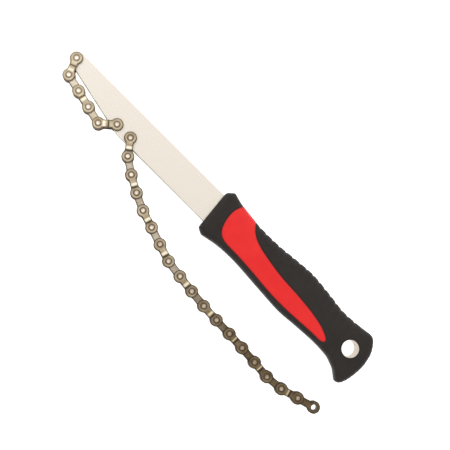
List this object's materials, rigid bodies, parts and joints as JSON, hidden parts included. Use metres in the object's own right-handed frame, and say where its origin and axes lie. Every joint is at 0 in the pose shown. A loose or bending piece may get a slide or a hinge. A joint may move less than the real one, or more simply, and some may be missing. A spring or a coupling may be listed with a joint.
{
  "type": "bicycle chain whip",
  "caption": "Chain whip for holding a bicycle sprocket: a flat steel bar in a moulded grip, a short chain riveted at both ends and a long chain that hangs free.",
  "frame": {"origin": "centre of the hanging hole in the grip, at half the thickness of the bar and grip", "axes": "+X along the bar from the hanging hole to the tip, +Y across the bar to the side where the chains lie, +Z out of the face that shows the inset, along the hanging hole and every chain pin"},
  "size_m": [0.2892, 0.0771, 0.014],
  "materials": {
    "bar": "satin nickel plate",
    "grip": "matte moulded",
    "inset": "soft satin",
    "plates": "bronze oiled steel",
    "pins": "riveted ends",
    "rollers": "oiled steel"
  },
  "bodies": {
    "handle": {"bar": "bar", "grip": "grip", "inset": "inset"},
    "long_link_01": {"long_outer_plates_01": "plates", "long_pins_01": "pins"},
    "long_link_02": {"long_inner_link_02": "plates"},
    "long_roller_02_near": {"long_roller_02_near": "rollers"},
    "long_roller_02_far": {"long_roller_02_far": "rollers"},
    "long_link_03": {"long_outer_plates_03": "plates", "long_pins_03": "pins"},
    "long_link_04": {"long_inner_link_04": "plates"},
    "long_roller_04_near": {"long_roller_04_near": "rollers"},
    "long_roller_04_far": {"long_roller_04_far": "rollers"},
    "long_link_05": {"long_outer_plates_05": "plates", "long_pins_05": "pins"},
    "long_link_06": {"long_inner_link_06": "plates"},
    "long_roller_06_near": {"long_roller_06_near": "rollers"},
    "long_roller_06_far": {"long_roller_06_far": "rollers"},
    "long_link_07": {"long_outer_plates_07": "plates", "long_pins_07": "pins"},
    "long_link_08": {"long_inner_link_08": "plates"},
    "long_roller_08_near": {"long_roller_08_near": "rollers"},
    "long_roller_08_far": {"long_roller_08_far": "rollers"},
    "long_link_09": {"long_outer_plates_09": "plates", "long_pins_09": "pins"},
    "long_link_10": {"long_inner_link_10": "plates"},
    "long_roller_10_near": {"long_roller_10_near": "rollers"},
    "long_roller_10_far": {"long_roller_10_far": "rollers"},
    "long_link_11": {"long_outer_plates_11": "plates", "long_pins_11": "pins"},
    "long_link_12": {"long_inner_link_12": "plates"},
    "long_roller_12_near": {"long_roller_12_near": "rollers"},
    "long_roller_12_far": {"long_roller_12_far": "rollers"},
    "long_link_13": {"long_outer_plates_13": "plates", "long_pins_13": "pins"},
    "long_link_14": {"long_inner_link_14": "plates"},
    "long_roller_14_near": {"long_roller_14_near": "rollers"},
    "long_roller_14_far": {"long_roller_14_far": "rollers"},
    "long_link_15": {"long_outer_plates_15": "plates", "long_pins_15": "pins"},
    "long_link_16": {"long_inner_link_16": "plates"},
    "long_roller_16_near": {"long_roller_16_near": "rollers"},
    "long_roller_16_far": {"long_roller_16_far": "rollers"},
    "long_link_17": {"long_outer_plates_17": "plates", "long_pins_17": "pins"},
    "long_link_18": {"long_inner_link_18": "plates"},
    "long_roller_18_near": {"long_roller_18_near": "rollers"},
    "long_roller_18_far": {"long_roller_18_far": "rollers"},
    "short_link_01": {"short_outer_plates_01": "plates", "short_pins_01": "pins"},
    "short_link_02": {"short_inner_link_02": "plates"},
    "short_roller_02_near": {"short_roller_02_near": "rollers"},
    "short_roller_02_far": {"short_roller_02_far": "rollers"},
    "short_link_03": {"short_outer_plates_03": "plates", "short_pins_03": "pins"},
    "short_link_04": {"short_inner_link_04": "plates"},
    "short_roller_04_near": {"short_roller_04_near": "rollers"},
    "short_roller_04_far": {"short_roller_04_far": "rollers"},
    "short_link_05": {"short_outer_plates_05": "plates", "short_pins_05": "pins"}
  },
  "joints": [
    {"name": "long_pin_01", "type": "hinge", "parent": "handle", "child": "long_link_01", "pos_m": [0.205, 0.0034, 0], "axis": [0, 0, -1], "range_deg": [-3, 40]},
    {"name": "long_pin_02", "type": "hinge", "parent": "long_link_01", "child": "long_link_02", "pos_m": [0.19736, 0.01354, 0], "axis": [0, 0, 1], "range_deg": [-40, 4]},
    {"name": "long_pin_03", "type": "hinge", "parent": "long_link_02", "child": "long_link_03", "pos_m": [0.18683, 0.02064, 0], "axis": [0, 0, -1], "range_deg": [-4, 40]},
    {"name": "long_pin_04", "type": "hinge", "parent": "long_link_03", "child": "long_link_04", "pos_m": [0.17572, 0.0268, 0], "axis": [0, 0, 1], "range_deg": [-40, 5]},
    {"name": "long_pin_05", "type": "hinge", "parent": "long_link_04", "child": "long_link_05", "pos_m": [0.16421, 0.03217, 0], "axis": [0, 0, -1], "range_deg": [-5, 40]},
    {"name": "long_pin_06", "type": "hinge", "parent": "long_link_05", "child": "long_link_06", "pos_m": [0.15213, 0.03609, 0], "axis": [0, 0, 1], "range_deg": [-40, 6]},
    {"name": "long_pin_07", "type": "hinge", "parent": "long_link_06", "child": "long_link_07", "pos_m": [0.14012, 0.04023, 0], "axis": [0, 0, -1], "range_deg": [-6, 40]},
    {"name": "long_pin_08", "type": "hinge", "parent": "long_link_07", "child": "long_link_08", "pos_m": [0.12804, 0.04415, 0], "axis": [0, 0, 1], "range_deg": [-40, 7]},
    {"name": "long_pin_09", "type": "hinge", "parent": "long_link_08", "child": "long_link_09", "pos_m": [0.11547, 0.04592, 0], "axis": [0, 0, -1], "range_deg": [-7, 40]},
    {"name": "long_pin_10", "type": "hinge", "parent": "long_link_09", "child": "long_link_10", "pos_m": [0.10286, 0.04747, 0], "axis": [0, 0, 1], "range_deg": [-40, 8]},
    {"name": "long_pin_11", "type": "hinge", "parent": "long_link_10", "child": "long_link_11", "pos_m": [0.09023, 0.04879, 0], "axis": [0, 0, -1], "range_deg": [-10, 40]},
    {"name": "long_pin_12", "type": "hinge", "parent": "long_link_11", "child": "long_link_12", "pos_m": [0.07755, 0.04946, 0], "axis": [0, 0, 1], "range_deg": [-40, 11]},
    {"name": "long_pin_13", "type": "hinge", "parent": "long_link_12", "child": "long_link_13", "pos_m": [0.06486, 0.0499, 0], "axis": [0, 0, -1], "range_deg": [-13, 40]},
    {"name": "long_pin_14", "type": "hinge", "parent": "long_link_13", "child": "long_link_14", "pos_m": [0.05218, 0.05057, 0], "axis": [0, 0, 1], "range_deg": [-40, 17]},
    {"name": "long_pin_15", "type": "hinge", "parent": "long_link_14", "child": "long_link_15", "pos_m": [0.03951, 0.05145, 0], "axis": [0, 0, -1], "range_deg": [-23, 40]},
    {"name": "long_pin_16", "type": "hinge", "parent": "long_link_15", "child": "long_link_16", "pos_m": [0.02686, 0.05256, 0], "axis": [0, 0, 1], "range_deg": [-40, 40]},
    {"name": "long_pin_17", "type": "hinge", "parent": "long_link_16", "child": "long_link_17", "pos_m": [0.0142, 0.05145, 0], "axis": [0, 0, -1], "range_deg": [-40, 40]},
    {"name": "long_pin_18", "type": "hinge", "parent": "long_link_17", "child": "long_link_18", "pos_m": [0.00194, 0.04817, 0], "axis": [0, 0, 1], "range_deg": [-40, 40]},
    {"name": "short_pin_01", "type": "hinge", "parent": "handle", "child": "short_link_01", "pos_m": [0.26888, -0.0092, 0], "axis": [0, 0, 1], "range_deg": [-7, 7]},
    {"name": "short_pin_02", "type": "hinge", "parent": "short_link_01", "child": "short_link_02", "pos_m": [0.26427, 0.00264, 0], "axis": [0, 0, 1], "range_deg": [-8.6, 8.6]},
    {"name": "short_pin_03", "type": "hinge", "parent": "short_link_02", "child": "short_link_03", "pos_m": [0.25194, 0.00567, 0], "axis": [0, 0, 1], "range_deg": [-4.05, 4.05]},
    {"name": "short_pin_04", "type": "hinge", "parent": "short_link_03", "child": "short_link_04", "pos_m": [0.23961, 0.00871, 0], "axis": [0, 0, 1], "range_deg": [-4.05, 4.05]},
    {"name": "short_pin_05", "type": "hinge", "parent": "short_link_04", "child": "short_link_05", "pos_m": [0.22728, 0.01174, 0], "axis": [0, 0, 1], "range_deg": [-8.6, 8.6]},
    {"name": "long_roller_02_near_spin", "type": "hinge", "parent": "long_link_02", "child": "long_roller_02_near", "pos_m": [0.19736, 0.01354, 0], "axis": [0, 0, 1], "continuous": true},
    {"name": "long_roller_02_far_spin", "type": "hinge", "parent": "long_link_02", "child": "long_roller_02_far", "pos_m": [0.18683, 0.02064, 0], "axis": [0, 0, 1], "continuous": true},
    {"name": "long_roller_04_near_spin", "type": "hinge", "parent": "long_link_04", "child": "long_roller_04_near", "pos_m": [0.17572, 0.0268, 0], "axis": [0, 0, 1], "continuous": true},
    {"name": "long_roller_04_far_spin", "type": "hinge", "parent": "long_link_04", "child": "long_roller_04_far", "pos_m": [0.16421, 0.03217, 0], "axis": [0, 0, 1], "continuous": true},
    {"name": "long_roller_06_near_spin", "type": "hinge", "parent": "long_link_06", "child": "long_roller_06_near", "pos_m": [0.15213, 0.03609, 0], "axis": [0, 0, 1], "continuous": true},
    {"name": "long_roller_06_far_spin", "type": "hinge", "parent": "long_link_06", "child": "long_roller_06_far", "pos_m": [0.14012, 0.04023, 0], "axis": [0, 0, 1], "continuous": true},
    {"name": "long_roller_08_near_spin", "type": "hinge", "parent": "long_link_08", "child": "long_roller_08_near", "pos_m": [0.12804, 0.04415, 0], "axis": [0, 0, 1], "continuous": true},
    {"name": "long_roller_08_far_spin", "type": "hinge", "parent": "long_link_08", "child": "long_roller_08_far", "pos_m": [0.11547, 0.04592, 0], "axis": [0, 0, 1], "continuous": true},
    {"name": "long_roller_10_near_spin", "type": "hinge", "parent": "long_link_10", "child": "long_roller_10_near", "pos_m": [0.10286, 0.04747, 0], "axis": [0, 0, 1], "continuous": true},
    {"name": "long_roller_10_far_spin", "type": "hinge", "parent": "long_link_10", "child": "long_roller_10_far", "pos_m": [0.09023, 0.04879, 0], "axis": [0, 0, 1], "continuous": true},
    {"name": "long_roller_12_near_spin", "type": "hinge", "parent": "long_link_12", "child": "long_roller_12_near", "pos_m": [0.07755, 0.04946, 0], "axis": [0, 0, 1], "continuous": true},
    {"name": "long_roller_12_far_spin", "type": "hinge", "parent": "long_link_12", "child": "long_roller_12_far", "pos_m": [0.06486, 0.0499, 0], "axis": [0, 0, 1], "continuous": true},
    {"name": "long_roller_14_near_spin", "type": "hinge", "parent": "long_link_14", "child": "long_roller_14_near", "pos_m": [0.05218, 0.05057, 0], "axis": [0, 0, 1], "continuous": true},
    {"name": "long_roller_14_far_spin", "type": "hinge", "parent": "long_link_14", "child": "long_roller_14_far", "pos_m": [0.03951, 0.05145, 0], "axis": [0, 0, 1], "continuous": true},
    {"name": "long_roller_16_near_spin", "type": "hinge", "parent": "long_link_16", "child": "long_roller_16_near", "pos_m": [0.02686, 0.05256, 0], "axis": [0, 0, 1], "continuous": true},
    {"name": "long_roller_16_far_spin", "type": "hinge", "parent": "long_link_16", "child": "long_roller_16_far", "pos_m": [0.0142, 0.05145, 0], "axis": [0, 0, 1], "continuous": true},
    {"name": "long_roller_18_near_spin", "type": "hinge", "parent": "long_link_18", "child": "long_roller_18_near", "pos_m": [0.00194, 0.04817, 0], "axis": [0, 0, 1], "continuous": true},
    {"name": "long_roller_18_far_spin", "type": "hinge", "parent": "long_link_18", "child": "long_roller_18_far", "pos_m": [-0.01033, 0.04488, 0], "axis": [0, 0, 1], "continuous": true},
    {"name": "short_roller_02_near_spin", "type": "hinge", "parent": "short_link_02", "child": "short_roller_02_near", "pos_m": [0.26427, 0.00264, 0], "axis": [0, 0, 1], "continuous": true},
    {"name": "short_roller_02_far_spin", "type": "hinge", "parent": "short_link_02", "child": "short_roller_02_far", "pos_m": [0.25194, 0.00567, 0], "axis": [0, 0, 1], "continuous": true},
    {"name": "short_roller_04_near_spin", "type": "hinge", "parent": "short_link_04", "child": "short_roller_04_near", "pos_m": [0.23961, 0.00871, 0], "axis": [0, 0, 1], "continuous": true},
    {"name": "short_roller_04_far_spin", "type": "hinge", "parent": "short_link_04", "child": "short_roller_04_far", "pos_m": [0.22728, 0.01174, 0], "axis": [0, 0, 1], "continuous": true}
  ],
  "couplings": [
    {"joint": "short_pin_02", "follows": "short_pin_01", "ratio": -1.2},
    {"joint": "short_pin_03", "follows": "short_pin_01", "ratio": -0.55},
    {"joint": "short_pin_04", "follows": "short_pin_01", "ratio": 0.55},
    {"joint": "short_pin_05", "follows": "short_pin_01", "ratio": 1.2}
  ]
}
